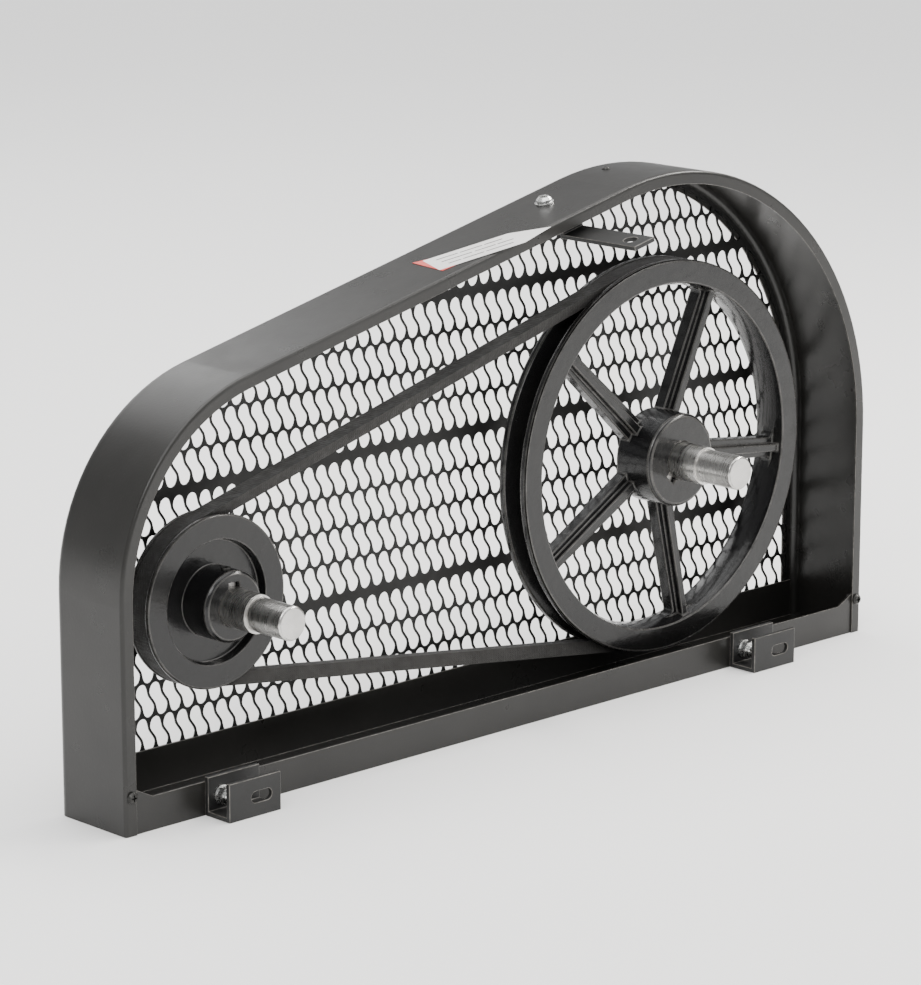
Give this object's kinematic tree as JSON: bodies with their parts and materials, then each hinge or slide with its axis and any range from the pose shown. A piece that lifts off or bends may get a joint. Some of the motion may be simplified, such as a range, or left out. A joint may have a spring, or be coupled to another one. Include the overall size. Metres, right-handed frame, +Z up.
{
  "type": "v belt drive",
  "caption": "Guarded V-belt drive: a wrapped wedge belt joins a small motor pulley to a large spoked flywheel inside a folded steel guard with a perforated face.",
  "frame": {"origin": "on the flywheel's axis, in the middle plane of the belt", "axes": "+X from the motor pulley towards the flywheel end, +Y along the shafts towards the perforated face, +Z up"},
  "size_m": [0.6535, 0.1128, 0.3426],
  "materials": {
    "guard_paint": "semi-gloss black paint on folded sheet steel",
    "mesh_paint": "black paint on perforated sheet",
    "bracket_paint": "satin charcoal paint",
    "black_screw": "blackened steel",
    "zinc": "bright zinc plating",
    "label_film": "printed vinyl film, white with a red border",
    "belt_fabric": "rubberised woven cover, matte charcoal",
    "belt_rubber": "moulded compression rubber",
    "belt_cord": "polyester tension cord in rubber",
    "cast_paint": "gloss black paint on a sand casting",
    "shaft_steel": "ground steel",
    "key_steel": "drawn key steel"
  },
  "bodies": {
    "guard": {"guard_rim": "guard_paint", "guard_mesh": "mesh_paint", "base_channel": "guard_paint", "base_screws": "black_screw", "rim_rivet": "black_screw", "top_bracket": "bracket_paint", "top_screw": "zinc", "top_washer": "zinc", "top_nut": "zinc", "left_foot": "bracket_paint", "right_foot": "bracket_paint", "foot_bolts": "zinc", "foot_washers": "zinc", "foot_nuts": "zinc", "direction_label": "label_film", "belt_cover": "belt_fabric", "belt_base_rubber": "belt_rubber", "belt_cords": "belt_cord", "belt_top_rubber": "belt_rubber"},
    "pump_side": {"flywheel": "cast_paint", "crank_nose": "shaft_steel", "crank_key": "key_steel", "crank_washer": "zinc", "crank_spring_washer": "zinc", "crank_bolt": "zinc"},
    "motor_side": {"motor_pulley": "cast_paint", "motor_shaft": "shaft_steel", "motor_key": "key_steel", "motor_washer": "zinc", "motor_spring_washer": "zinc", "motor_bolt": "zinc", "motor_set_screw": "black_screw"}
  },
  "joints": [
    {"name": "flywheel_spin", "type": "hinge", "parent": "guard", "child": "pump_side", "pos_m": [0, 0, 0], "axis": [0, 1, 0], "continuous": true},
    {"name": "motor_spin", "type": "hinge", "parent": "guard", "child": "motor_side", "pos_m": [-0.387, 0, -0.0275], "axis": [0, 1, 0], "continuous": true}
  ],
  "couplings": [
    {"joint": "motor_spin", "follows": "flywheel_spin", "ratio": 2.56}
  ]
}
